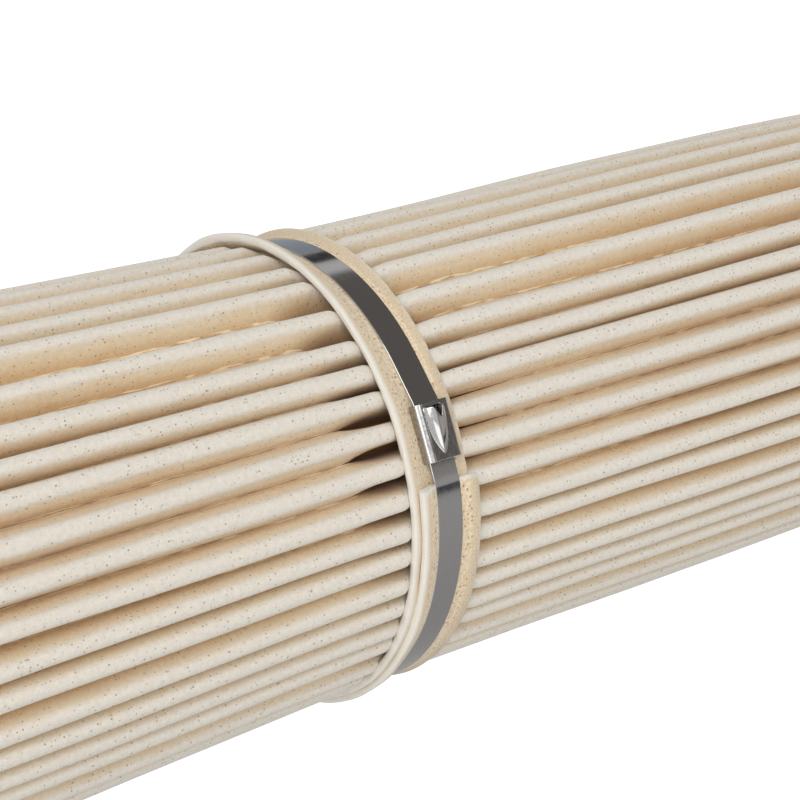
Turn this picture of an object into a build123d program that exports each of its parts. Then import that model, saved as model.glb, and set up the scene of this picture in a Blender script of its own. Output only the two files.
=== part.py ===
# A slim dust collector filter cartridge: a pleated felt tube round a slotted core, closed by two end
# caps and drawn in by felt strips under steel ties with ball-lock heads.
#
# It stands on its closed cap. The origin is the middle of that cap's underside, +Z runs up the axis to
# the open end, and the tie heads face -Y. Sizes are in millimetres and angles in degrees.
from build123d import *
from math import acos, asin, atan2, cos, degrees, hypot, pi, radians, sin
import os

# Whole cartridge
cartridge_length = 1200.0  # over the two end caps, without the gasket
seat_clearance = 0.1  # between pieces that lie on each other

# Slotted core
core_radius = 40.0
core_wall = 0.8
slot_length = 90.0
slot_width = 14.0
slot_spacing = 140.0  # from slot to slot along the core
slot_directions = 3  # each cut goes through both walls

# Pleated felt
tip_radius = 63.0
felt_thickness = 2.3
fold_radius = 0.45  # inside the folds beside the core
fold_gap = 0.4  # least gap between neighbouring folds at the core
crease_depth = 7.2  # the two plies of a pleat are pressed together this far in
crease_gap = 0.2  # between the plies where they part
pleat_turn = 2.45  # angle from the middle of the tie heads to the nearest pleat

# Felt strips and the waists that they draw in
strip_count = 3
strip_width = 19.0
strip_thickness = 1.8
strip_offset = 2.0  # middle of the strip above the middle of its tie
cinch_depth = 4.4  # a strip draws the pleat tips in this far
flare_slope = 0.33  # rise of the strip's edges for each millimetre beyond the tie head
waist_margin = 1.5  # the pleat tips are drawn in this far beyond the strip's edges
overlap_angle = 100.0
overlap_shift = 1.75  # the outer layer lies this much lower
ramp_angle = 8.0  # where the strip climbs onto its own first turn

# Steel ties and their heads
tie_width = 7.9
tie_thickness = 0.3
head_angle = -91.0
head_length = 14.8
head_width = 10.7
head_height = 3.0
head_sheet = 0.5
head_bend = 1.2
head_to_overlap = 12.0  # angle from the middle of the head to the strip's cut end
channel_side_gap = 0.15
dome_radius = 3.4
dome_height = 2.2  # above the roof of the head
dome_start = -5.6
dome_swell = 4.2  # from its point to where it is nearly as wide as its mouth
dome_swell_radius = 2.4
dome_point_slope = 2.0
mouth_position = 6.4
ball_radius = 1.5
ball_position = 3.0

# End caps
cap_sheet = 1.0
skirt_height = 20.0
cap_bend = 2.2
collar_clearance = 0.3  # between the collar or dish and the core
dish_depth = 8.0
dish_slope_width = 4.0

# Potting and gasket
potting_depth = 4.0
bead_wall = 3.0  # between the pleat tips and a cap's skirt
bead_height = 9.0
gasket_width = 16.0
gasket_thickness = 8.0
gasket_edge = 1.5

# Worked out from the sizes above
cinched_radius = tip_radius - cinch_depth
cap_radius = tip_radius + bead_wall + cap_sheet
strip_names = ("lower", "middle", "upper")
strip_heights = [cartridge_length * (i + 1) / (strip_count + 1) for i in range(strip_count)]
strip_outer_radius = cinched_radius + seat_clearance + strip_thickness
overlap_outer_radius = strip_outer_radius + strip_thickness
ramp_outer_radius = strip_outer_radius + strip_thickness / 2
overlap_end = head_angle - head_to_overlap
overlap_start = overlap_end - overlap_angle
head_base_radius = strip_outer_radius + seat_clearance
tie_seat_radius = head_base_radius + head_sheet + seat_clearance
pack_inner_radius = core_radius + seat_clearance
pack_bottom = cap_sheet + potting_depth + seat_clearance
pack_top = cartridge_length - pack_bottom


def radial_plane(angle, height=0.0):
    """Return the upright plane through the axis: its X runs outwards and its Y runs up."""
    turn = radians(angle)
    return Plane(origin=(0, 0, height), x_dir=(cos(turn), sin(turn), 0), z_dir=(sin(turn), -cos(turn), 0))


def polar(radius, angle):
    """Return the flat point at a radius and an angle."""
    return Vector(radius * cos(radians(angle)), radius * sin(radians(angle)))


# One pleat is drawn in its own frame, with X outwards along its middle. Its flank is the line that
# touches the round tip on one side and the round fold beside the core on the other.
fold_outer_radius = fold_radius + felt_thickness
fold_centre_radius = pack_inner_radius + fold_outer_radius
pleat_count = int(pi / asin((fold_outer_radius + fold_gap / 2) / fold_centre_radius))
half_pitch = 180.0 / pleat_count
tip_centre = Vector(tip_radius - felt_thickness, 0)
fold_centre = polar(fold_centre_radius, half_pitch)
crease_point = Vector(tip_radius - crease_depth, crease_gap / 2)


def tangent_direction(start, start_radius, end, end_radius):
    """Return the angle of the radius at which a line leaves one circle to cross over to another."""
    towards = atan2(end.Y - start.Y, end.X - start.X)
    apart = hypot(end.X - start.X, end.Y - start.Y)
    return degrees(towards - acos((start_radius + end_radius) / apart))


flank_angle = tangent_direction(tip_centre, felt_thickness, fold_centre, fold_radius)
inner_flank_angle = tangent_direction(fold_centre, fold_outer_radius, crease_point, 0)

# Heights from the middle of a tie. Its strip is flat under the tie on both layers, and flares out beyond.
# The pleat tips are drawn in a little wider than both layers.
flat_half = tie_width / 2 + overlap_shift + seat_clearance
strip_top = strip_offset + strip_width / 2
strip_bottom = strip_offset - strip_width / 2

with BuildSketch() as pleat:
    with BuildLine():
        tip = CenterArc(tip_centre, felt_thickness, 0, flank_angle)
        fold = CenterArc(fold_centre, fold_radius, 180 + half_pitch, flank_angle - half_pitch)
        fold_back = CenterArc(
            fold_centre, fold_outer_radius, 180 + half_pitch, 180 + inner_flank_angle - half_pitch
        )
        Line(tip @ 1, fold @ 1)
        Line(fold @ 0, fold_back @ 0)
        Line(fold_back @ 1, crease_point)
        Polyline(crease_point, (crease_point.X, 0), tip @ 0)
    make_face()
    mirror(about=Plane.XZ)

with BuildPart() as pleat_pack:
    with BuildSketch(Plane.XY.offset(pack_bottom)):
        with PolarLocations(0, pleat_count, start_angle=head_angle + pleat_turn):
            add(pleat.sketch)
    extrude(amount=pack_top - pack_bottom)
    for height in strip_heights:
        with BuildSketch(Plane.XY.offset(height + strip_bottom - overlap_shift - waist_margin)):
            Circle(tip_radius + seat_clearance)
            Circle(cinched_radius, mode=Mode.SUBTRACT)
        extrude(amount=strip_width + overlap_shift + 2 * waist_margin, mode=Mode.SUBTRACT)

# The core stands on the bottom cap and ends under the bend of the top cap's collar.
with BuildPart() as inner_core:
    core_length = cartridge_length - cap_sheet - cap_bend - 2 * seat_clearance
    with BuildSketch(Plane.XY.offset(cap_sheet + seat_clearance)):
        Circle(core_radius)
        Circle(core_radius - core_wall, mode=Mode.SUBTRACT)
    extrude(amount=core_length)
    slot_rows = int((core_length - 2 * skirt_height + slot_spacing - slot_length) / slot_spacing)
    for direction in range(slot_directions):
        with BuildSketch(radial_plane(180 * direction / slot_directions, cartridge_length / 2)):
            with GridLocations(0, slot_spacing, 1, slot_rows):
                SlotOverall(slot_length, slot_width, rotation=90)
        extrude(amount=core_radius, both=True, mode=Mode.SUBTRACT)

# The caps are sheet steel pans. Each section is the sheet's outer line, thickened inwards.
bore_radius = core_radius - core_wall - collar_clearance - cap_sheet
with BuildPart() as top_cap:
    with BuildSketch(Plane.XZ):
        with BuildLine():
            FilletPolyline(
                (cap_radius, cartridge_length - skirt_height),
                (cap_radius, cartridge_length),
                (bore_radius, cartridge_length),
                (bore_radius, cartridge_length - skirt_height),
                radius=cap_bend,
            )
            offset(amount=cap_sheet, side=Side.LEFT)
        make_face()
    revolve(axis=Axis.Z)

dish_radius = bore_radius
with BuildPart() as bottom_cap:
    with BuildSketch(Plane.XZ):
        with BuildLine():
            FilletPolyline(
                (cap_radius, skirt_height),
                (cap_radius, 0),
                (dish_radius, 0),
                (dish_radius - dish_slope_width, dish_depth),
                (0, dish_depth),
                radius=cap_bend,
            )
            offset(amount=cap_sheet, side=Side.RIGHT)
        make_face()
    revolve(axis=Axis.Z)

# The potting fills each pan under the pleats, with a bead that holds their tips. Both ends have the same
# ring, drawn beside the axis for the lower end and mirrored at mid-length for the upper one.
with BuildPart() as bottom_potting:
    with BuildSketch(Plane.XZ) as bottom_potting_section:
        with BuildLine():
            Polyline(
                (core_radius + seat_clearance, cap_sheet),
                (cap_radius - cap_sheet, cap_sheet),
                (cap_radius - cap_sheet, pack_bottom + bead_height),
                (tip_radius + seat_clearance, pack_bottom + bead_height),
                (tip_radius + seat_clearance, pack_bottom - seat_clearance),
                (core_radius + seat_clearance, pack_bottom - seat_clearance),
                close=True,
            )
        make_face()
        pan_corner = bottom_potting_section.vertices().group_by(Axis.Y)[0].sort_by(Axis.X)[-1]
        fillet(pan_corner, radius=cap_bend - cap_sheet + seat_clearance)
    revolve(axis=Axis.Z)

with BuildPart() as top_potting:
    mirror(bottom_potting.part, about=Plane.XY.offset(cartridge_length / 2))

with BuildPart() as top_gasket:
    gasket_radius = cap_radius - cap_bend
    with BuildSketch(Plane.XY.offset(cartridge_length)):
        Circle(gasket_radius)
        Circle(gasket_radius - gasket_width, mode=Mode.SUBTRACT)
    extrude(amount=gasket_thickness)
    fillet(top_gasket.faces().sort_by(Axis.Z)[-1].edges(), radius=gasket_edge)

# A strip's section is drawn beside the axis, with X outwards and Y up from the middle of its tie.
strip_seat = [
    (cinched_radius + seat_clearance - (strip_bottom + flat_half) * flare_slope, strip_bottom),
    (cinched_radius + seat_clearance, -flat_half),
    (cinched_radius + seat_clearance, flat_half),
    (cinched_radius + seat_clearance + (strip_top - flat_half) * flare_slope, strip_top),
]
strip_face = [(radius + strip_thickness, rise) for radius, rise in reversed(strip_seat)]
with BuildSketch() as first_turn:
    Polygon(*strip_seat, *strip_face, align=None)
with BuildSketch() as second_turn:
    with Locations((strip_thickness, -overlap_shift)):
        add(first_turn.sketch)
with BuildSketch() as ramp:
    with Locations((strip_thickness / 2, -overlap_shift / 2)):
        add(first_turn.sketch)


def make_strip(height):
    """Return a felt strip wrapped once round its waist, with its outer end lapped over its start."""
    with BuildPart() as strip:
        with BuildSketch(radial_plane(overlap_start, height)):
            add(first_turn.sketch)
        revolve(axis=Axis.Z)
        with BuildSketch(radial_plane(overlap_start, height)):
            add(second_turn.sketch)
        revolve(axis=Axis.Z, revolution_arc=overlap_angle)
        with BuildSketch(radial_plane(overlap_start - ramp_angle, height)):
            add(ramp.sketch)
        revolve(axis=Axis.Z, revolution_arc=ramp_angle)
    return strip.part


# A tie is drawn tight, so its inner line is the hull of what it goes round: its strip, the strip's lap
# and the foot of its own head. The head's frames have X along the tie, and Y or Z outwards.
along = polar(1, head_angle + 90)
outwards = polar(1, head_angle)
foot = Plane(origin=outwards * tie_seat_radius, x_dir=along, z_dir=outwards)
with BuildSketch() as wrapped:
    with BuildLine():
        CenterArc((0, 0), strip_outer_radius + seat_clearance, 0, 360)
        CenterArc((0, 0), overlap_outer_radius + seat_clearance, overlap_start, overlap_angle)
        CenterArc((0, 0), ramp_outer_radius + seat_clearance, overlap_start - ramp_angle, ramp_angle)
        Line(
            foot.from_local_coords((-head_length / 2, 0)),
            foot.from_local_coords((head_length / 2, 0)),
        )
    make_hull()


def make_tie(height):
    """Return a tie drawn tight over its strip."""
    with BuildPart() as tie:
        with BuildSketch(Plane.XY.offset(height - tie_width / 2)):
            add(wrapped.sketch)
            offset(amount=tie_thickness)
            add(wrapped.sketch, mode=Mode.SUBTRACT)
        extrude(amount=tie_width)
    return tie.part


# The ball's race is a half teardrop turned about a line below the head's roof. It runs from a point at
# one end to a wide mouth at the other, and its hollow is the same shape drawn in by the sheet.
race_radius = head_base_radius + head_height + dome_height - dome_radius
floor_radius = head_base_radius + head_sheet
roof_radius = head_base_radius + head_height - head_sheet
channel_width = tie_width + 2 * channel_side_gap


def race_outline(inset, mouth):
    """Return half of the race, drawn in by an inset, with X along the tie from the head's middle."""
    with BuildSketch() as outline:
        with BuildLine():
            side = Spline(
                (dome_start + inset, 0),
                (dome_start + dome_swell, dome_swell_radius - inset),
                (mouth, dome_radius - inset),
                tangents=((1, dome_point_slope), (1, 0)),
            )
            Polyline(side @ 1, (mouth, 0), side @ 0)
        make_face()
    return outline.sketch


def make_head(height):
    """Return a tie's head: a folded box, open at both ends, with a raised race for its ball."""
    level = Vector(0, 0, height)
    side_plane = Plane(origin=level, x_dir=along, z_dir=(0, 0, -1))
    race_plane = Plane(origin=outwards * race_radius + level, x_dir=along, z_dir=outwards)
    race_line = Axis(race_plane.origin, along)
    with BuildPart() as head:
        with BuildSketch(side_plane):
            with Locations((0, head_base_radius)):
                Rectangle(head_length, head_height, align=(Align.CENTER, Align.MIN))
        extrude(amount=head_width / 2, both=True)
        roof = head.faces().sort_by(lambda face: face.center().dot(outwards))[-1]
        fillet(roof.edges().filter_by(Axis((0, 0, 0), along)), radius=head_bend)
        with BuildSketch(race_plane):
            add(race_outline(0, mouth_position))
        revolve(axis=race_line, revolution_arc=180)
        with BuildSketch(side_plane):
            with Locations((0, floor_radius)):
                Rectangle(head_length, roof_radius - floor_radius, align=(Align.CENTER, Align.MIN))
        extrude(amount=channel_width / 2, both=True, mode=Mode.SUBTRACT)
        with BuildSketch(race_plane):
            add(race_outline(head_sheet, mouth_position + head_sheet))
        revolve(axis=race_line, revolution_arc=180, mode=Mode.SUBTRACT)
    return head.part


def make_ball(height):
    """Return the ball that locks a tie, resting on the tie inside the head's race."""
    ball_centre = foot.from_local_coords((ball_position, 0, tie_thickness + seat_clearance + ball_radius))
    with BuildPart() as ball:
        with Locations(ball_centre + Vector(0, 0, height)):
            Sphere(ball_radius)
    return ball.part


parts = {
    "pleat_pack": pleat_pack.part,
    "inner_core": inner_core.part,
    "top_cap": top_cap.part,
    "bottom_cap": bottom_cap.part,
    "top_potting": top_potting.part,
    "bottom_potting": bottom_potting.part,
    "top_gasket": top_gasket.part,
}
for place, height in zip(strip_names, strip_heights):
    parts[place + "_strip"] = make_strip(height)
    parts[place + "_tie"] = make_tie(height)
    parts[place + "_tie_head"] = make_head(height)
    parts[place + "_lock_ball"] = make_ball(height)

os.makedirs("parts", exist_ok=True)
for name, part in parts.items():
    part.label = name
    export_step(part, f"parts/{name}.step")
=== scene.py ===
import logging
import math
from dataclasses import dataclass, field
from enum import Enum
from typing import Callable

import bmesh
import bpy
from mathutils import Matrix, Vector, noise
from mathutils.geometry import convex_hull_2d


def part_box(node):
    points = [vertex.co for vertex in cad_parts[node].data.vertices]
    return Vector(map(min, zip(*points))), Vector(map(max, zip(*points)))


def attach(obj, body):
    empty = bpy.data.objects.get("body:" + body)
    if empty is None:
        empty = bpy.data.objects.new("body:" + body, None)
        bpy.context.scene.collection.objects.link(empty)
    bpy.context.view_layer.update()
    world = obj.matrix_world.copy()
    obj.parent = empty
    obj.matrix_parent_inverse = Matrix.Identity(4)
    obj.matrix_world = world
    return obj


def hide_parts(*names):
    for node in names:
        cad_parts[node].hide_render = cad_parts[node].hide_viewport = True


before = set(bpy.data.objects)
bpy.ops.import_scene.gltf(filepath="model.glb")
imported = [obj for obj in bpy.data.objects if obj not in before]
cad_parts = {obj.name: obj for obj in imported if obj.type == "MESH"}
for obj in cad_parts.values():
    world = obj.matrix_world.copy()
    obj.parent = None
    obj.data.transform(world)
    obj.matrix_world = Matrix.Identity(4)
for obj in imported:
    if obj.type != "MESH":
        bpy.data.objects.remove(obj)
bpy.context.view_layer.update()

MM = 0.001
log = logging.getLogger("filter_cartridge")


class Band(Enum):
    """The three strapped felt bands, named from the floor up."""

    LOWER = "lower"
    MIDDLE = "middle"
    UPPER = "upper"


# Shared helpers


def linear(hex_colour: str) -> tuple[float, float, float, float]:
    """Turn an sRGB hex colour into linear RGBA.

    Args:
        hex_colour: Six hex digits, such as "C8B090".

    Returns:
        The linear colour with an alpha of one.
    """
    channels = [int(hex_colour[i:i + 2], 16) / 255 for i in (0, 2, 4)]
    turned = [c / 12.92 if c <= 0.04045 else ((c + 0.055) / 1.055) ** 2.4 for c in channels]
    return (*turned, 1.0)


def smooth_step(low: float, high: float, value: float) -> float:
    """Rise smoothly from 0 at low to 1 at high."""
    share = min(max((value - low) / (high - low), 0.0), 1.0)
    return share * share * (3 - 2 * share)


def wave(seed: float, place: float, length: float) -> float:
    """Return smooth noise from about -1 to 1.

    Args:
        seed: Keeps one wandering line apart from another.
        place: Where on the line, in metres.
        length: The length of one swing, in metres.

    Returns:
        The noise there.
    """
    return 2 * noise.noise(Vector((seed * 7.31, place / length, seed * 1.7)))


def polar(radius: float, angle: float, height: float = 0.0) -> Vector:
    """Return the point at a radius, an angle in radians and a height."""
    return Vector((radius * math.cos(angle), radius * math.sin(angle), height))


def add_node(tree: bpy.types.NodeTree, kind: str, links: dict | None = None, **settings) -> bpy.types.Node:
    """Add a shader node with its settings, socket values and links.

    Args:
        tree: The node tree.
        kind: The node's type.
        links: Input socket names or numbers, each with a value or an output socket.
        settings: Properties of the node itself.

    Returns:
        The new node.
    """
    node = tree.nodes.new(kind)
    for name, value in settings.items():
        setattr(node, name, value)
    for name, value in (links or {}).items():
        if isinstance(value, bpy.types.NodeSocket):
            tree.links.new(value, node.inputs[name])
        else:
            node.inputs[name].default_value = value
    return node


def new_material(name: str) -> tuple[bpy.types.Material, bpy.types.NodeTree, bpy.types.Node]:
    """Make an empty node material with a Principled shader on its output.

    Args:
        name: The material's name.

    Returns:
        The material, its tree and its shader.
    """
    material = bpy.data.materials.new(name)
    material.use_nodes = True
    tree = material.node_tree
    tree.nodes.clear()
    shader = add_node(tree, "ShaderNodeBsdfPrincipled")
    add_node(tree, "ShaderNodeOutputMaterial", {"Surface": shader.outputs[0]})
    return material, tree, shader


def mix_colour(tree: bpy.types.NodeTree, share, first, second, blend: str = "MIX") -> bpy.types.NodeSocket:
    """Mix two colours.

    Args:
        tree: The node tree.
        share: How much of the second, a number or a socket.
        first: A linear colour or a socket.
        second: A linear colour or a socket.
        blend: The blending mode.

    Returns:
        The mixed colour's socket.
    """
    links = {0: share, 6: first, 7: second}
    return add_node(tree, "ShaderNodeMix", links, data_type="RGBA", blend_type=blend).outputs[2]


def ramp(tree: bpy.types.NodeTree, value, low: float, high: float, start: float = 0.0, end: float = 1.0):
    """Map a value from one range to another, clamped, and return the socket."""
    links = {0: value, 1: low, 2: high, 3: start, 4: end}
    return add_node(tree, "ShaderNodeMapRange", links).outputs[0]


def make_piece(
    name: str, mesh_maker: bmesh.types.BMesh, material: bpy.types.Material, crease_angle: float | None = None
) -> bpy.types.Object:
    """Turn a bmesh into a smooth-shaded piece that rides on the cartridge.

    Args:
        name: The piece's name.
        mesh_maker: The finished bmesh, which is freed.
        material: The piece's finish.
        crease_angle: Edges that turn by more than this stay sharp.

    Returns:
        The new object.
    """
    mesh = bpy.data.meshes.new(name)
    mesh_maker.to_mesh(mesh)
    mesh_maker.free()
    mesh.materials.append(material)
    for polygon in mesh.polygons:
        polygon.use_smooth = True
    if crease_angle is not None:
        mesh.set_sharp_from_angle(angle=crease_angle)
    piece = bpy.data.objects.new(name, mesh)
    bpy.context.scene.collection.objects.link(piece)
    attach(piece, "root")
    log.info("%s: %d faces", name, len(mesh.polygons))
    return piece


def wrapped_grid(columns: int, rows: int, place: Callable[[int, int], Vector]) -> bmesh.types.BMesh:
    """Bend a flat grid into a sheet or a tube.

    Args:
        columns: Grid points across.
        rows: Grid points along.
        place: Gives the point for a column and a row.

    Returns:
        The bent grid, with a vertex for each column and row in order.
    """
    sheet = bmesh.new()
    bmesh.ops.create_grid(sheet, x_segments=columns - 1, y_segments=rows - 1, size=1, calc_uvs=False)
    sheet.verts.ensure_lookup_table()
    for index, vert in enumerate(sheet.verts):
        vert.co = place(index % columns, index // columns)
    return sheet


def close_tube(sheet: bmesh.types.BMesh) -> None:
    """Weld a bent grid where its edges meet and turn its faces outwards."""
    bmesh.ops.remove_doubles(sheet, verts=sheet.verts, dist=0.002 * MM)
    bmesh.ops.recalc_face_normals(sheet, faces=sheet.faces)
    sheet.normal_update()


def lathe(outline: list[tuple[float, float]], steps: int = 144) -> bmesh.types.BMesh:
    """Spin an outline of radii and heights round the axis.

    Args:
        outline: Points as (radius, height), closed if the last joins the first.
        steps: Segments round the axis.

    Returns:
        The turned shape with its faces outwards.
    """
    turned = bmesh.new()
    verts = [turned.verts.new((radius, 0, height)) for radius, height in outline]
    edges = [turned.edges.new(pair) for pair in zip(verts, verts[1:])]
    if (Vector(outline[0]) - Vector(outline[-1])).length > 0.02 * MM:
        edges.append(turned.edges.new((verts[-1], verts[0])))
    bmesh.ops.spin(
        turned, geom=verts + edges, cent=(0, 0, 0), axis=(0, 0, 1), dvec=(0, 0, 0),
        angle=math.tau, steps=steps, use_merge=True, use_duplicate=False,
    )
    close_tube(turned)
    return turned


# Finishes


@dataclass(frozen=True)
class PleatFelt:
    """Needle-punched aramid felt, off-white on the tips and sandy down the flanks, darker with depth into the folds.

    Needling leaves a matt, fuzzy face with darker fibre ends, which show as fine specks. The press that folds it
    glazes the line where the flanks touch: the felt is glossier there, and a pale colour in broken dashes is a
    painted highlight.
    """

    tip: str = "E0D8CB"
    flank: str = "DCC8A8"
    valley: str = "D2B184"
    # The valley and cavity shade colours are painted shade, darkening the deep folds and the wedges beside the
    # strips.
    cavity_shade: str = "B07F45"
    speck: str = "85704F"
    # Painted highlight colour for the glossy crease dashes.
    glaze_and_highlight: str = "FBE9C8"
    speck_pitch: float = 0.95
    fuzz_pitch: float = 0.35
    tuft_pitch: float = 1.4
    cloud_pitch: float = 9.0
    dash_length: float = 7.0
    dash_width: float = 0.8

    def build(self) -> bpy.types.Material:
        """Return the material. It reads the piece's UV map in metres and its depth attribute."""
        material, tree, shader = new_material("aramid_needle_felt")
        place = add_node(tree, "ShaderNodeUVMap", uv_map="felt").outputs[0]
        in_mm = add_node(tree, "ShaderNodeVectorMath", {0: place, 3: 1 / MM}, operation="SCALE").outputs[0]
        depth = add_node(tree, "ShaderNodeAttribute", attribute_name="depth").outputs["Fac"]
        cloud = add_node(
            tree, "ShaderNodeTexNoise", {"Vector": in_mm, "Scale": 1 / self.cloud_pitch, "Detail": 3.0}
        ).outputs[0]
        wander = add_node(tree, "ShaderNodeMath", {0: cloud, 1: 0.16, 2: -0.08}, operation="MULTIPLY_ADD").outputs[0]
        shaded = add_node(tree, "ShaderNodeMath", {0: depth, 1: wander}, operation="ADD").outputs[0]
        # Colour by depth below the tip: the sandy flank is partly the felt's own tone, and the valley and cavity
        # colours are painted shade.
        colour = mix_colour(tree, ramp(tree, shaded, 0.06, 0.26), linear(self.tip), linear(self.flank))
        colour = mix_colour(tree, ramp(tree, shaded, 0.25, 0.5), colour, linear(self.valley))
        colour = mix_colour(tree, ramp(tree, shaded, 0.55, 1.1), colour, linear(self.cavity_shade))
        cells = add_node(
            tree, "ShaderNodeTexVoronoi", {"Vector": in_mm, "Scale": 1 / self.speck_pitch, "Randomness": 1.0}
        )
        dot = ramp(tree, cells.outputs["Distance"], 0.2, 0.32, 1.0, 0.0)
        lot = add_node(tree, "ShaderNodeSeparateColor", {0: cells.outputs["Color"]}).outputs[0]
        rare = ramp(tree, lot, 0.6, 1.0, 0.0, 0.8)
        specks = add_node(tree, "ShaderNodeMath", {0: dot, 1: rare}, operation="MULTIPLY").outputs[0]
        colour = mix_colour(tree, specks, colour, linear(self.speck))
        fuzz = add_node(
            tree, "ShaderNodeTexNoise", {"Vector": in_mm, "Scale": 1 / self.fuzz_pitch, "Detail": 4.0}
        ).outputs[0]
        colour = mix_colour(tree, 1.0, colour, ramp(tree, fuzz, 0.3, 0.7, 0.94, 1.05), "MULTIPLY")
        tufts = add_node(
            tree, "ShaderNodeTexNoise", {"Vector": in_mm, "Scale": 1 / self.tuft_pitch, "Detail": 3.0}
        ).outputs[0]
        colour = mix_colour(tree, 1.0, colour, ramp(tree, tufts, 0.3, 0.7, 0.94, 1.05), "MULTIPLY")
        drawn_out = (1 / self.dash_width, 1 / self.dash_length, 1.0)
        stretched = add_node(tree, "ShaderNodeMapping", {"Vector": in_mm, "Scale": drawn_out}).outputs[0]
        dashes = add_node(tree, "ShaderNodeTexNoise", {"Vector": stretched, "Scale": 1.0, "Detail": 2.0}).outputs[0]
        touch = add_node(tree, "ShaderNodeAttribute", attribute_name="crease").outputs["Fac"]
        # Painted highlight: the crease dashes get a pale colour as well as a lower roughness.
        glaze_and_highlight = add_node(
            tree, "ShaderNodeMath", {0: ramp(tree, touch, 0.7, 0.85), 1: ramp(tree, dashes, 0.46, 0.56)},
            operation="MULTIPLY",
        ).outputs[0]
        colour = mix_colour(tree, glaze_and_highlight, colour, linear(self.glaze_and_highlight))
        tree.links.new(colour, shader.inputs["Base Color"])
        tree.links.new(ramp(tree, glaze_and_highlight, 0.0, 1.0, 0.92, 0.4), shader.inputs["Roughness"])
        shader.inputs["Sheen Weight"].default_value = 0.25
        shader.inputs["Sheen Roughness"].default_value = 0.6
        height = add_node(tree, "ShaderNodeMath", {0: tufts, 1: fuzz}, operation="ADD").outputs[0]
        bump = add_node(tree, "ShaderNodeBump", {"Strength": 0.55, "Distance": 0.3 * MM, "Height": height})
        tree.links.new(bump.outputs[0], shader.inputs["Normal"])
        return material


@dataclass(frozen=True)
class StripFelt:
    """The same felt cut into a strip: a singed tan face, dense with specks, and white cut edges."""

    face: str = "DDC39C"
    speck: str = "A67B45"
    pale: str = "E9DCC4"
    edge: str = "ECE6DB"
    speck_pitch: float = 1.0
    fibre_pitch: float = 0.8
    fuzz_pitch: float = 0.3

    def build(self) -> bpy.types.Material:
        """Return the material. It reads the piece's UV map in metres and its edge attribute."""
        material, tree, shader = new_material("singed_strip_felt")
        place = add_node(tree, "ShaderNodeUVMap", uv_map="felt").outputs[0]
        in_mm = add_node(tree, "ShaderNodeVectorMath", {0: place, 3: 1 / MM}, operation="SCALE").outputs[0]
        edge = add_node(tree, "ShaderNodeAttribute", attribute_name="edge").outputs["Fac"]
        fibres = add_node(
            tree, "ShaderNodeTexNoise", {"Vector": in_mm, "Scale": 1 / self.fibre_pitch, "Detail": 3.0}
        ).outputs[0]
        cells = add_node(
            tree, "ShaderNodeTexVoronoi", {"Vector": in_mm, "Scale": 1 / self.speck_pitch, "Randomness": 1.0}
        )
        dot = ramp(tree, cells.outputs["Distance"], 0.22, 0.42, 1.0, 0.0)
        lot = add_node(tree, "ShaderNodeSeparateColor", {0: cells.outputs["Color"]}).outputs[0]
        specks = add_node(
            tree, "ShaderNodeMath", {0: dot, 1: ramp(tree, lot, 0.3, 0.9, 0.0, 0.9)}, operation="MULTIPLY"
        ).outputs[0]
        fuzz = add_node(
            tree, "ShaderNodeTexNoise", {"Vector": in_mm, "Scale": 1 / self.fuzz_pitch, "Detail": 4.0}
        ).outputs[0]
        colour = mix_colour(tree, ramp(tree, fibres, 0.42, 0.62), linear(self.face), linear(self.pale))
        colour = mix_colour(tree, specks, colour, linear(self.speck))
        colour = mix_colour(tree, ramp(tree, edge, 0.35, 0.8), colour, linear(self.edge))
        colour = mix_colour(tree, 1.0, colour, ramp(tree, fuzz, 0.3, 0.7, 0.93, 1.05), "MULTIPLY")
        tree.links.new(colour, shader.inputs["Base Color"])
        shader.inputs["Roughness"].default_value = 0.92
        shader.inputs["Sheen Weight"].default_value = 0.25
        shader.inputs["Sheen Roughness"].default_value = 0.6
        bump = add_node(tree, "ShaderNodeBump", {"Strength": 0.6, "Distance": 0.25 * MM, "Height": fuzz})
        tree.links.new(bump.outputs[0], shader.inputs["Normal"])
        return material


@dataclass(frozen=True)
class SheetMetal:
    """Sheet steel: a metal whose rolled or polished face carries fine marks.

    The tone is the metal's reflectance, roughness its polish, and marks the spacing of the scratches or
    zinc flowers, which change the roughness and barely lift the surface.
    """

    name: str
    tone: str
    roughness: float
    mark_pitch: float
    mark_stretch: tuple[float, float, float] = (1.0, 1.0, 1.0)
    mark_depth: float = 0.01
    mark_spread: float = 0.08

    def build(self) -> bpy.types.Material:
        """Return the material. It reads Object coordinates, stretched along the marks."""
        material, tree, shader = new_material(self.name)
        place = add_node(tree, "ShaderNodeTexCoord").outputs["Object"]
        scale = tuple(s / (self.mark_pitch * MM) for s in self.mark_stretch)
        stretched = add_node(tree, "ShaderNodeMapping", {"Vector": place, "Scale": scale}).outputs[0]
        marks = add_node(tree, "ShaderNodeTexNoise", {"Vector": stretched, "Scale": 1.0, "Detail": 5.0}).outputs[0]
        low, high = self.roughness - self.mark_spread / 2, self.roughness + self.mark_spread
        tree.links.new(ramp(tree, marks, 0.35, 0.7, low, high), shader.inputs["Roughness"])
        colour = mix_colour(tree, 1.0, linear(self.tone), ramp(tree, marks, 0.3, 0.7, 0.94, 1.04), "MULTIPLY")
        tree.links.new(colour, shader.inputs["Base Color"])
        shader.inputs["Metallic"].default_value = 1.0
        bump = add_node(
            tree, "ShaderNodeBump", {"Strength": 0.3, "Distance": self.mark_depth * MM, "Height": marks}
        )
        tree.links.new(bump.outputs[0], shader.inputs["Normal"])
        return material


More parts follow.
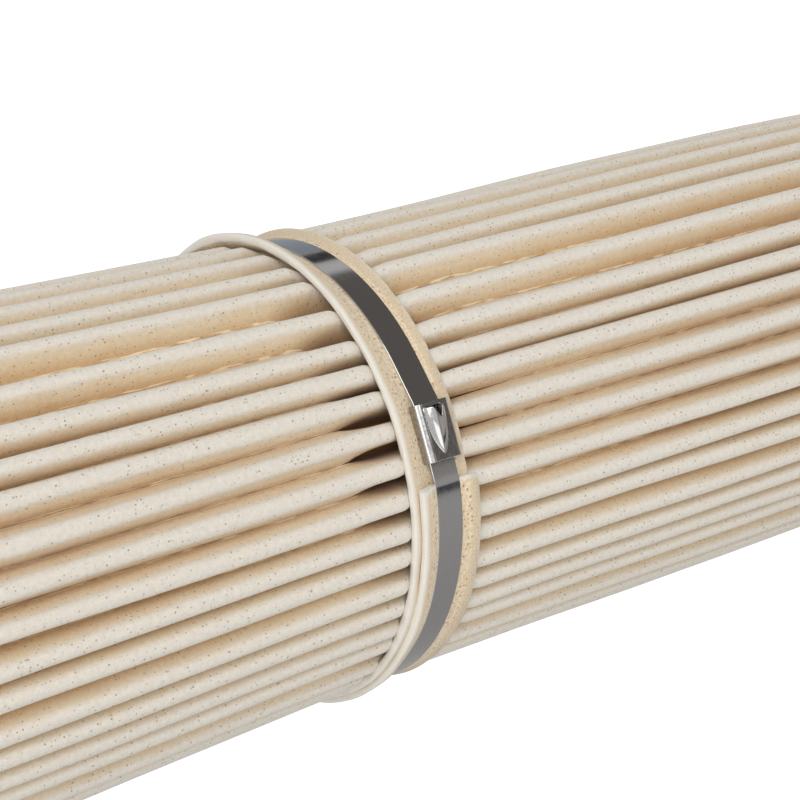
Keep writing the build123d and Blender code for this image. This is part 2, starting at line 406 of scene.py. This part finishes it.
@dataclass(frozen=True)
class SoftMould:
    """A moulded or cast non-metal: sponge rubber or resin, matt with a fine pore."""

    name: str
    tone: str
    dark: str
    roughness: float
    pore_pitch: float

    def build(self) -> bpy.types.Material:
        """Return the material. It reads Object coordinates."""
        material, tree, shader = new_material(self.name)
        place = add_node(tree, "ShaderNodeTexCoord").outputs["Object"]
        pores = add_node(
            tree, "ShaderNodeTexNoise", {"Vector": place, "Scale": 1 / (self.pore_pitch * MM), "Detail": 4.0}
        ).outputs[0]
        colour = mix_colour(tree, ramp(tree, pores, 0.35, 0.65), linear(self.dark), linear(self.tone))
        tree.links.new(colour, shader.inputs["Base Color"])
        shader.inputs["Roughness"].default_value = self.roughness
        bump = add_node(tree, "ShaderNodeBump", {"Strength": 0.4, "Distance": 0.15 * MM, "Height": pores})
        tree.links.new(bump.outputs[0], shader.inputs["Normal"])
        return material


# Sub-assemblies


@dataclass
class BandLine:
    """Sizes that a band's strip and tie share, all in metres from the middle of the tie."""

    name: Band
    height: float = 0.0
    strip_width: float = 19.0 * MM
    strip_offset: float = 2.0 * MM
    strip_thickness: float = 1.8 * MM
    edge_thickness: float = 3.0 * MM
    cinched_radius: float = 58.7 * MM
    flat_half: float = 5.8 * MM
    flare_slope: float = 0.33
    lap_start: float = math.radians(157)
    lap_angle: float = math.radians(100)
    lap_shift: float = 1.75 * MM
    ramp_angle: float = math.radians(8)
    seat_clearance: float = 0.1 * MM

    def __post_init__(self) -> None:
        """Take the band's height from its tie."""
        low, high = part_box(f"{self.name.value}_tie")
        self.height = (low[2] + high[2]) / 2

    def seat_radius(self, rise: float) -> float:
        """Return the strip's inner radius at a height above the tie's middle."""
        return self.cinched_radius + max(abs(rise) - self.flat_half, 0.0) * self.flare_slope

    def turn_level(self, turned: float) -> float:
        """Return 0 on the strip's first turn and 1 on its lap, with a smooth climb between."""
        return smooth_step(math.tau - self.ramp_angle, math.tau, turned)


@dataclass
class PleatPack:
    """The folded felt: upright pleats round the core, whose flanks touch below the tips.

    Under each strip the tips are drawn in, and beside it the flanks part again in a dark wedge.
    """

    bands: list[BandLine]
    felt: bpy.types.Material
    pleats: int = 45
    first_angle: float = math.radians(-88.55)
    tip_half_width: float = 2.35 * MM
    tip_drop: float = 2.0 * MM
    tip_points: int = 7
    flank_points: int = 2
    flank_bulge: float = 0.15 * MM
    contact_depth: float = 4.6 * MM
    glazed_width: float = 0.45 * MM
    fold_radius: float = 0.5 * MM
    valley_radius: float = 42.6 * MM
    shoulder_radius: float = 61.9 * MM
    span_bulge: float = 3.0 * MM
    sag: float = 0.45 * MM
    near_shoulder: float = 3.2 * MM
    far_shoulder: float = 1.8 * MM
    wedge_gap: float = 1.05 * MM
    wedge_depth: float = 8.0 * MM
    wedge_length: float = 16.0 * MM
    crowding: float = math.radians(7.7)
    leans: dict[int, float] = field(default_factory=lambda: {
        -8: 2.1, -7: 0.8, -3: -0.8, -2: -0.8, -1: -0.5, 2: -1.3, 3: -2.5, 4: -1.2, 5: 1.1, 8: 1.0,
    })

    def __post_init__(self) -> None:
        """Take the pack's ends from the frame, set its rings of points and each pleat's angle."""
        low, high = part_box("pleat_pack")
        self.bottom, self.top = low[2], high[2]
        self.columns = 1 + 2 * (3 + self.flank_points) + self.tip_points
        self.heights = [self.bottom]
        while self.heights[-1] < self.top:
            self.heights.append(min(self.heights[-1] + self.ring_gap(self.heights[-1]), self.top))
        self.angles = [self.pleat_angle(index) for index in range(self.pleats)]

    def nearest(self, height: float) -> BandLine:
        """Return the band nearest to a height."""
        return min(self.bands, key=lambda band: abs(band.height - height))

    def ring_gap(self, height: float) -> float:
        """Return the gap to the next ring of points, which is small beside a strip's edges."""
        rise = (height - self.nearest(height).height) / MM
        for low, high, gap in ((-14, -6, 1.8), (-6, 9, 5.0), (9, 16, 1.3), (16, 30, 3.5)):
            if low <= rise < high:
                return gap * MM
        return 17 * MM

    def pleat_angle(self, index: int) -> float:
        """Return the angle of a pleat's tip. The pleats crowd a little on one side, and some lean."""
        even = math.tau * index / self.pleats
        counted = index if index <= self.pleats // 2 else index - self.pleats
        lean = self.leans.get(counted, 0.7 * wave(index, 0.0, 1.0))
        return self.first_angle + even + self.crowding * (1 - math.cos(even)) + math.radians(lean)

    def free_radius(self, height: float, angle: float) -> float:
        """Return the radius of the tips between the bands, where the pack swells and leans to one side."""
        span = self.bands[1].height - self.bands[0].height
        share = math.modf(abs(height - self.bands[1].height) / span)[0]
        return self.shoulder_radius + self.span_bulge * math.sin(math.pi * share ** 1.4) - self.sag * math.cos(angle)

    def tip_radius_at(self, height: float, angle: float) -> float:
        """Return the tips' radius, which drops in a round shoulder to the seat under a strip."""
        band = self.nearest(height)
        rise = height - band.height
        beyond = abs(rise - band.strip_offset) - band.strip_width / 2
        length = self.near_shoulder if rise > 0 else self.far_shoulder
        share = min(max((beyond + 0.6 * MM) / length, 0.0), 1.0)
        seat = band.seat_radius(rise) - 0.1 * MM
        return seat + (self.free_radius(height, angle) - seat) * math.sqrt(1 - (1 - share) ** 2)

    def opening(self, height: float) -> float:
        """Return how far the flanks part at a height, from 0 to 1. They part least below a band."""
        band = self.nearest(height)
        beyond = abs(height - band.height - band.strip_offset) - band.strip_width / 2
        share = 1 - smooth_step(0.0, self.wedge_length, beyond)
        return share if height > band.height else 0.35 * share

    def section(self, pleat: int, height: float) -> list[tuple[Vector, float, float]]:
        """Draw one pleat at one height.

        Args:
            pleat: The pleat's number, round from the tie heads.
            height: The height in metres.

        Returns:
            Points from the valley before the pleat to its last flank, each with its depth below the
            tip and its share of the crease where neighbouring flanks touch.
        """
        sway = [math.radians(0.3) * wave(n % self.pleats, height, 110 * MM) for n in (pleat - 1, pleat, pleat + 1)]
        tips = [self.angles[n % self.pleats] for n in (pleat - 1, pleat, pleat + 1)]
        here = tips[1] + sway[1]
        gaps = [(tips[0] + sway[0] - here + math.pi) % math.tau - math.pi,
                (tips[2] + sway[2] - here + math.pi) % math.tau - math.pi]
        radius = self.tip_radius_at(height, here) + 0.2 * MM * wave(pleat + 0.5, height, 60 * MM)
        outwards, sideways = polar(1, here), polar(1, here + math.pi / 2)
        opening = self.opening(height)
        half_gap = 0.01 * MM + self.wedge_gap * opening
        contact_radius = self.shoulder_radius - self.contact_depth - self.wedge_depth * opening
        width = self.tip_half_width * (1 + 0.06 * wave(pleat + 0.8, height, 35 * MM))
        sides = []
        for gap, way in ((gaps[0], 1), (gaps[1], -1)):
            middle = here + gap / 2
            across = polar(1, middle + math.pi / 2) * way
            fold = polar(self.valley_radius + self.fold_radius, middle) + across * self.fold_radius
            contact = polar(contact_radius, middle) + across * half_gap
            shoulder = outwards * (radius - self.tip_drop) - sideways * way * width
            flank = [
                contact.lerp(shoulder, (n + 1) / (self.flank_points + 1)) - sideways * way * self.flank_bulge
                for n in range(self.flank_points)
            ]
            glazed = contact + (shoulder - contact).normalized() * self.glazed_width
            sides.append(
                [(fold, 0.0), (contact, 1.0 - opening), (glazed, 1.0 - opening)] + [(point, 0.0) for point in flank]
            )
        tip = []
        for n in range(self.tip_points):
            turn = math.pi * (n / (self.tip_points - 1) - 0.5)
            reach = math.copysign(abs(math.sin(turn)) ** 0.9, turn) * width
            drop = self.tip_drop * (1 - max(math.cos(turn), 0.0))
            tip.append((outwards * (radius - drop) + sideways * reach, 0.0))
        valley = (polar(self.valley_radius, here + gaps[0] / 2), 0.0)
        drawn = [valley] + sides[0] + tip + sides[1][::-1]
        return [(Vector((at.x, at.y, height)), radius - at.length, crease) for at, crease in drawn]

    def build(self) -> bpy.types.Object:
        """Return the folded felt, welded into a ring, with its felt map, depth and crease."""
        ring, rows = self.pleats * self.columns, len(self.heights)
        drawn = [[p for n in range(self.pleats) for p in self.section(n, height)] for height in self.heights]
        sheet = wrapped_grid(ring + 1, rows, lambda column, row: drawn[row][column % ring][0])
        depth_layer = sheet.verts.layers.float.new("depth")
        crease_layer = sheet.verts.layers.float.new("crease")
        felt_map = sheet.loops.layers.uv.new("felt")
        middle = drawn[rows // 3]
        across = [0.0]
        for column in range(ring):
            across.append(across[-1] + (middle[(column + 1) % ring][0] - middle[column][0]).length)
        for index, vert in enumerate(sheet.verts):
            _, depth, crease = drawn[index // (ring + 1)][index % (ring + 1) % ring]
            vert[depth_layer], vert[crease_layer] = depth / (10 * MM), crease
        for face in sheet.faces:
            for loop in face.loops:
                loop[felt_map].uv = (across[loop.vert.index % (ring + 1)], loop.vert.co.z)
        close_tube(sheet)
        pack = make_piece("felt_pleats", sheet, self.felt)
        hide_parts("pleat_pack")
        return pack


@dataclass
class FeltStrip:
    """A felt strip wrapped round the pleats, with its outer end lapped over its start."""

    line: BandLine
    felt: bpy.types.Material
    side_points: int = 11
    edge_points: int = 4
    steps: int = 300
    crown_lift: float = 1.6 * MM
    far_fringe: float = 0.45

    def crown(self, turned: float) -> float:
        """Return how far the strip's free edges stand off where the pleats under them lean."""
        return self.crown_lift * max(math.cos(self.line.lap_start + turned), 0.0) ** 2

    def outline(self, turned: float) -> list[tuple[float, float, float, float]]:
        """Draw the strip's section at one place along it.

        Args:
            turned: The angle from the strip's start.

        Returns:
            Points as radius, rise, distance across the face and share of cut edge.
        """
        line = self.line
        level = line.turn_level(turned)
        shift = -line.lap_shift * smooth_step(math.pi, math.tau, turned)
        half = line.strip_width / 2
        points = []
        for side, order in ((0, range(self.side_points)), (1, range(self.side_points - 1, -1, -1))):
            for step in order:
                across = -half + line.strip_width * step / (self.side_points - 1)
                rise = line.strip_offset + across
                free = smooth_step(line.flat_half * 0.7, half, abs(rise))
                thickness = line.strip_thickness + (line.edge_thickness - line.strip_thickness) * free
                seat = line.seat_radius(rise) + level * line.strip_thickness + self.crown(turned) * free
                wobble = 0.25 * MM * wave(3.3 + side, turned * line.cinched_radius, 12 * MM) * free
                inset = 0.35 * MM if step in (0, self.side_points - 1) else 0.0
                radius = seat + wobble + (inset if side == 0 else thickness - inset)
                corner = {0: self.far_fringe, self.side_points - 1: 1.0}.get(step, 0.0) if side == 1 else 0.0
                points.append((radius, rise + shift, across, corner))
            rim = half if side == 0 else -half
            base = line.strip_offset + rim
            seat = line.seat_radius(base) + level * line.strip_thickness + self.crown(turned)
            for step in range(1, self.edge_points):
                share = step / self.edge_points
                lift = share if side == 0 else 1 - share
                bulge = math.copysign(0.3 * MM, rim) * math.sin(share * math.pi)
                frayed = 0.18 * MM * wave(9.1 + side + step, turned * line.cinched_radius, 3 * MM)
                radius = seat + 0.35 * MM + (line.edge_thickness - 0.7 * MM) * lift
                points.append((radius, base + bulge + frayed + shift, rim, 1.0))
        return points

    def build(self) -> bpy.types.Object:
        """Return the strip with closed ends, its felt map and its cut edges marked."""
        line = self.line
        length = math.tau + line.lap_angle
        around = len(self.outline(0.0)) + 1
        marks: list[tuple[float, float, float]] = []

        def place(column: int, row: int) -> Vector:
            turned = length * row / self.steps
            radius, rise, across, cut = self.outline(turned)[column % (around - 1)]
            marks.append((turned * line.cinched_radius, across + cut * radius, cut))
            return polar(radius, line.lap_start + turned, line.height + rise)

        sheet = wrapped_grid(around, self.steps + 1, place)
        cut_layer = sheet.verts.layers.float.new("edge")
        felt_map = sheet.loops.layers.uv.new("felt")
        for vert, mark in zip(sheet.verts, marks):
            vert[cut_layer] = mark[2]
        for face in sheet.faces:
            for loop in face.loops:
                loop[felt_map].uv = marks[loop.vert.index][:2]
        bmesh.ops.remove_doubles(sheet, verts=sheet.verts, dist=0.002 * MM)
        ends = bmesh.ops.holes_fill(sheet, edges=sheet.edges, sides=around + 2)["faces"]
        rims = bmesh.ops.inset_individual(sheet, faces=ends, thickness=0.15 * MM, use_even_offset=True)
        for face in ends + rims["faces"]:
            for loop in face.loops:
                loop[felt_map].uv = (loop.vert.co.z, loop.vert.co.xy.length)
            for vert in face.verts:
                vert[cut_layer] = 1.0
        bmesh.ops.triangulate(sheet, faces=ends)
        bmesh.ops.recalc_face_normals(sheet, faces=sheet.faces)
        strip = make_piece(f"{line.name.value}_felt_strip", sheet, self.felt)
        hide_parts(f"{line.name.value}_strip")
        return strip


@dataclass
class BallLockTie:
    """A polished steel tie drawn round a strip, with its folded head and the ball that locks it."""

    line: BandLine
    tie_steel: bpy.types.Material
    head_steel: bpy.types.Material
    tie_width: float = 7.9 * MM
    tie_thickness: float = 0.3 * MM
    head_angle: float = math.radians(-91)
    head_length: float = 14.8 * MM
    head_width: float = 10.7 * MM
    head_height: float = 3.0 * MM
    head_sheet: float = 0.5 * MM
    head_bend: float = 1.2 * MM
    dome_height: float = 2.2 * MM
    dome_half_width: float = 3.3 * MM
    dome_start: float = -5.8 * MM
    mouth: float = 6.3 * MM
    notch_start: float = 3.4 * MM
    bead_position: float = 3.75 * MM
    bead_half_width: float = 0.75 * MM
    bead_height: float = 0.3 * MM
    ball_radius: float = 1.5 * MM
    ball_position: float = 3.0 * MM

    def __post_init__(self) -> None:
        """Work out the radii that the tie and its head seat on."""
        line = self.line
        self.strip_radius = line.cinched_radius + line.strip_thickness
        self.head_base = self.strip_radius + line.seat_clearance
        self.tie_seat = self.head_base + self.head_sheet + line.seat_clearance

    def in_head(self, along: float, across: float, outwards: float) -> Vector:
        """Return a point given along the tie, up the cartridge and outwards from the axis."""
        tangent = polar(1, self.head_angle + math.pi / 2)
        return tangent * along + polar(outwards, self.head_angle) + Vector((0, 0, self.line.height + across))

    def path(self) -> list[Vector]:
        """Return the tight line round the strip, its lap and the head's foot, evenly spaced."""
        line = self.line
        points = [polar(self.strip_radius + 0.1 * MM, math.tau * i / 720) for i in range(720)]
        lap_radius = self.strip_radius + line.strip_thickness + 0.1 * MM
        points += [polar(lap_radius, line.lap_start + line.lap_angle * i / 200) for i in range(201)]
        ramp_radius = self.strip_radius + line.strip_thickness / 2 + 0.1 * MM
        points += [polar(ramp_radius, line.lap_start - line.ramp_angle * i / 16) for i in range(17)]
        points += [self.in_head(side * self.head_length / 2, 0, self.tie_seat) for side in (-1, 1)]
        flat = [point.xy for point in points]
        loop = [flat[i] for i in convex_hull_2d(flat)]
        middle = sum(loop, Vector((0, 0))) / len(loop)
        loop.sort(key=lambda point: math.atan2(point.y - middle.y, point.x - middle.x))
        spaced = []
        for start, end in zip(loop, loop[1:] + loop[:1]):
            count = max(round((end - start).length / (0.6 * MM)), 1)
            spaced += [start.lerp(end, i / count) for i in range(count)]
        for _ in range(3):
            spaced = [(spaced[i - 1] + p * 2 + spaced[(i + 1) % len(spaced)]) / 4 for i, p in enumerate(spaced)]
        return spaced

    def build_tie(self) -> bpy.types.Object:
        """Return the closed band, with softly rounded edges."""
        path = self.path()
        half, rim = self.tie_width / 2, 0.12 * MM
        section = [
            (0, -half + rim), (0, half - rim), (rim, half), (self.tie_thickness - rim, half),
            (self.tie_thickness, half - rim), (self.tie_thickness, -half + rim),
            (self.tie_thickness - rim, -half), (rim, -half),
        ]
        count = len(section)

        def place(column: int, row: int) -> Vector:
            point, after, before = (path[(row + step) % len(path)] for step in (0, 1, -1))
            outwards = Vector((after.y - before.y, before.x - after.x)).normalized()
            lift, rise = section[column % count]
            at = point + outwards * lift
            return Vector((at.x, at.y, self.line.height + rise))

        sheet = wrapped_grid(count + 1, len(path) + 1, place)
        close_tube(sheet)
        tie = make_piece(f"{self.line.name.value}_steel_tie", sheet, self.tie_steel, math.radians(30))
        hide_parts(f"{self.line.name.value}_tie")
        return tie

    def roof_lift(self, along: float, across: float) -> float:
        """Return how far the pressed race stands above the head's roof."""
        share = (along - self.dome_start) / (self.mouth - self.dome_start)
        bead = abs(across - self.bead_position) / self.bead_half_width
        folded = self.bead_height * (1 + math.cos(math.pi * bead)) / 2 if bead < 1 else 0.0
        if share <= 0:
            return folded
        taper = (1 - max(1 - share, 0.0) ** 2.2) ** 0.8
        half_width = self.dome_half_width * taper
        if abs(across) >= half_width:
            return folded
        crown = (1 - (across / half_width) ** 2) ** 0.7
        end = 1 - smooth_step(self.mouth - 0.3 * MM, self.mouth + 0.3 * MM, along)
        return max(self.dome_height * taper * crown * end, folded)

    def build_head(self) -> bpy.types.Object:
        """Return the head: one folded sheet with its race pressed out and a notch over the ball."""
        half, bend, low_bend = self.head_width / 2, self.head_bend, 0.5 * MM
        corners = [
            (half - bend, self.head_height - bend, bend, 0), (-half + bend, self.head_height - bend, bend, 1),
            (-half + low_bend, low_bend, low_bend, 2), (half - low_bend, low_bend, low_bend, 3),
        ]
        section = []
        for across, lift, radius, quarter in corners:
            for step in range(7):
                turn = math.pi / 2 * (quarter + step / 6)
                section.append((across + radius * math.cos(turn), lift + radius * math.sin(turn)))
            if quarter == 0:
                reach = half - bend
                section += [(reach - 2 * reach * i / 64, self.head_height) for i in range(1, 64)]
        count, rows = len(section), 100

        def place(column: int, row: int) -> Vector:
            across, lift = section[column % count]
            along = self.head_length * (row / (rows - 1) - 0.5)
            if lift >= self.head_height - 0.01 * MM:
                lift += self.roof_lift(along, across)
            return self.in_head(along, across, self.head_base + lift)

        sheet = wrapped_grid(count + 1, rows, place)
        close_tube(sheet)
        tangent = polar(1, self.head_angle + math.pi / 2)
        outwards = polar(1, self.head_angle)
        opened = []
        for face in sheet.faces:
            at = face.calc_center_median()
            along, across = at.dot(tangent), at.z - self.line.height
            reach = (along - self.notch_start) / (self.mouth - self.notch_start)
            on_roof = at.dot(outwards) > self.head_base + self.head_height + 0.25 * MM
            if on_roof and reach > 0 and abs(across + 0.4 * MM) < 1.5 * MM * reach + 0.3 * MM:
                opened.append(face)
        bmesh.ops.delete(sheet, geom=opened, context="FACES")
        head = make_piece(f"{self.line.name.value}_head_fold", sheet, self.head_steel, math.radians(50))
        wall = head.modifiers.new("sheet", "SOLIDIFY")
        wall.thickness, wall.offset = self.head_sheet * 0.85, -1.0
        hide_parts(f"{self.line.name.value}_tie_head")
        return head

    def build_ball(self) -> bpy.types.Object:
        """Return the locking ball, resting on the tie in its race."""
        sheet = bmesh.new()
        at = self.in_head(
            self.ball_position, 0, self.tie_seat + self.tie_thickness + self.line.seat_clearance + self.ball_radius
        )
        bmesh.ops.create_uvsphere(
            sheet, u_segments=32, v_segments=20, radius=self.ball_radius, matrix=Matrix.Translation(at)
        )
        ball = make_piece(f"{self.line.name.value}_locking_ball", sheet, self.head_steel)
        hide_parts(f"{self.line.name.value}_lock_ball")
        return ball


@dataclass
class EndFittings:
    """The pressed caps, the gasket and the potting at the cartridge's two ends."""

    cap_steel: bpy.types.Material
    core_steel: bpy.types.Material
    rubber: bpy.types.Material
    resin: bpy.types.Material

    def dress(self) -> None:
        """Give the frame's own end pieces and core their finishes."""
        finishes = {
            "top_cap": self.cap_steel, "bottom_cap": self.cap_steel, "inner_core": self.core_steel,
            "top_gasket": self.rubber, "top_potting": self.resin, "bottom_potting": self.resin,
        }
        for node, finish in finishes.items():
            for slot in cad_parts[node].material_slots:
                slot.material = finish
            log.info("%s dressed", node)


@dataclass(frozen=True)
class FloorCard:
    """A studio card on the floor that only reflections show, spread round the axis like a slice.

    Angles are in degrees from -Y towards +X, and the tone is the card's colour in the metal.
    """

    name: str
    start: float
    end: float
    tone: str


@dataclass
class Studio:
    """The camera at the photograph's angle, the lamps, the floor and the plain world."""

    target: float
    tie_radius: float = 60.9 * MM
    lens: float = 94.9
    sensor: float = 36.0
    elevation: float = math.radians(36.52)
    roll: float = math.radians(105.94)
    distance: float = 9.415
    card_radii: tuple[float, float] = (0.3, 1.9)
    cards: tuple[FloorCard, ...] = (
        FloorCard("front_card", -8, 94, "7E7976"),
        FloorCard("pale_card", 96, 106, "F4F4F4"),
        FloorCard("dark_card", 107, 117, "3C3D40"),
        FloorCard("blue_card", 120, 185, "A9B1BC"),
        FloorCard("lap_card", -33, -25, "5E6165"),
    )
    aside: float = -0.443
    below: float = 0.275

    def place_camera(self) -> None:
        """Set the camera: it looks down at the middle band and is rolled onto its side."""
        forward = Vector((0, math.cos(self.elevation), -math.sin(self.elevation)))
        level = Vector((1, 0, 0))
        upright = level.cross(forward)
        right = level * math.cos(self.roll) - upright * math.sin(self.roll)
        up = level * math.sin(self.roll) + upright * math.cos(self.roll)
        reach = (right * self.aside - up * self.below + forward * self.distance) * self.tie_radius
        data = bpy.data.cameras.new("camera")
        data.lens, data.sensor_width, data.clip_start, data.clip_end = self.lens, self.sensor, 0.01, 50
        camera = bpy.data.objects.new("camera", data)
        turned = Matrix((right, up, -forward)).transposed().to_4x4()
        camera.matrix_world = Matrix.Translation(Vector((0, 0, self.target)) - reach) @ turned
        bpy.context.scene.collection.objects.link(camera)
        bpy.context.scene.camera = camera

    def add_lamp(self, name: str, place: Vector, size: float, power: float) -> None:
        """Add a square soft lamp that faces the middle band.

        Args:
            name: The lamp's name.
            place: Where it hangs.
            size: Its side in metres.
            power: Its power in watts.
        """
        data = bpy.data.lights.new(name, "AREA")
        data.size, data.energy = size, power
        lamp = bpy.data.objects.new(name, data)
        lamp.location = place
        lamp.rotation_mode = "QUATERNION"
        lamp.rotation_quaternion = (Vector((0, 0, self.target)) - place).to_track_quat("-Z", "Y")
        bpy.context.scene.collection.objects.link(lamp)

    def light(self) -> None:
        """Hang the lamps and set the world, which is plain white to the camera and to reflections."""
        self.add_lamp("key_lamp", Vector((0.55, -1.5, self.target + 1.15)), 1.5, 19)
        self.add_lamp("fill_lamp", Vector((-1.0, -1.5, self.target + 0.6)), 1.2, 6)
        world = bpy.data.worlds.new("plain_studio")
        bpy.context.scene.world = world
        world.use_nodes = True
        tree = world.node_tree
        tree.nodes.clear()
        path = add_node(tree, "ShaderNodeLightPath")
        seen = path.outputs["Is Camera Ray"]
        for kind in ("Is Glossy Ray", "Is Transmission Ray"):
            seen = add_node(tree, "ShaderNodeMath", {0: seen, 1: path.outputs[kind]}, operation="MAXIMUM").outputs[0]
        strength = ramp(tree, seen, 0.0, 1.0, 0.6, 1.0)
        sky = add_node(tree, "ShaderNodeBackground", {"Color": linear("FFFFFF"), "Strength": strength})
        add_node(tree, "ShaderNodeOutputWorld", {"Surface": sky.outputs[0]})

    def lay_floor(self) -> None:
        """Lay a white floor that keeps the cartridge's shadow."""
        sheet = bmesh.new()
        bmesh.ops.create_grid(sheet, x_segments=1, y_segments=1, size=6)
        mesh = bpy.data.meshes.new("floor")
        sheet.to_mesh(mesh)
        sheet.free()
        material = bpy.data.materials.new("white_floor")
        material.use_nodes = True
        tree = material.node_tree
        tree.nodes.clear()
        seen = add_node(tree, "ShaderNodeLightPath").outputs["Is Camera Ray"]
        glow = add_node(tree, "ShaderNodeEmission", {"Color": linear("FFFFFF"), "Strength": 0.8})
        paint = add_node(tree, "ShaderNodeBsdfDiffuse", {"Color": linear("D2D2D2")})
        lit = add_node(tree, "ShaderNodeAddShader", {0: glow.outputs[0], 1: paint.outputs[0]})
        mixed = add_node(tree, "ShaderNodeMixShader", {0: seen, 1: paint.outputs[0], 2: lit.outputs[0]})
        add_node(tree, "ShaderNodeOutputMaterial", {"Surface": mixed.outputs[0]})
        mesh.materials.append(material)
        floor = bpy.data.objects.new("floor", mesh)
        bpy.context.scene.collection.objects.link(floor)

    def lay_cards(self) -> None:
        """Lay the floor cards, which put calm bands of tone into the metal and show nowhere else."""
        for card in self.cards:
            sheet = bmesh.new()
            inner, outer = self.card_radii
            start, end = (math.radians(angle - 90) for angle in (card.start, card.end))
            edge = [sheet.verts.new(polar(radius, start, 2 * MM)) for radius in (inner, outer)]
            strip = [*edge, sheet.edges.new(edge)]
            bmesh.ops.spin(
                sheet, geom=strip, cent=(0, 0, 0), axis=(0, 0, 1), dvec=(0, 0, 0),
                angle=end - start, steps=24, use_merge=False, use_duplicate=False,
            )
            mesh = bpy.data.meshes.new(card.name)
            sheet.to_mesh(mesh)
            sheet.free()
            material = bpy.data.materials.new(card.name)
            material.use_nodes = True
            tree = material.node_tree
            tree.nodes.clear()
            tone = add_node(tree, "ShaderNodeEmission", {"Color": linear(card.tone), "Strength": 1.0})
            add_node(tree, "ShaderNodeOutputMaterial", {"Surface": tone.outputs[0]})
            mesh.materials.append(material)
            board = bpy.data.objects.new(card.name, mesh)
            board.visible_camera = board.visible_diffuse = board.visible_shadow = False
            board.visible_transmission = False
            bpy.context.scene.collection.objects.link(board)


def main() -> None:
    """Build the dressed cartridge and its studio."""
    logging.basicConfig(level=logging.INFO, format="%(message)s")
    bpy.context.scene.view_settings.view_transform = "Standard"
    lines = [BandLine(band) for band in Band]
    studio = Studio(target=lines[1].height)
    studio.place_camera()
    studio.light()
    studio.lay_floor()
    studio.lay_cards()
    pleat_felt = PleatFelt().build()
    strip_felt = StripFelt().build()
    tie_steel = SheetMetal("polished_stainless_strip", "A5A3A1", 0.11, 0.5, (0.2, 0.2, 4.0)).build()
    head_steel = SheetMetal("pressed_stainless", "AFADAB", 0.1, 0.8).build()
    PleatPack(lines, pleat_felt).build()
    for line in lines:
        FeltStrip(line, strip_felt).build()
        tie = BallLockTie(line, tie_steel, head_steel)
        tie.build_tie()
        tie.build_head()
        tie.build_ball()
    cap_steel = SheetMetal("galvanised_cap", "B9BBBC", 0.36, 9.0, mark_spread=0.16).build()
    core_steel = SheetMetal("galvanised_core", "ABADAE", 0.4, 9.0, mark_spread=0.16).build()
    rubber = SoftMould("sponge_rubber", "232426", "141516", 0.75, 0.6).build()
    resin = SoftMould("cast_resin", "B7A27C", "A38D66", 0.45, 3.0).build()
    EndFittings(cap_steel, core_steel, rubber, resin).dress()


if __name__ == "__main__":
    main()
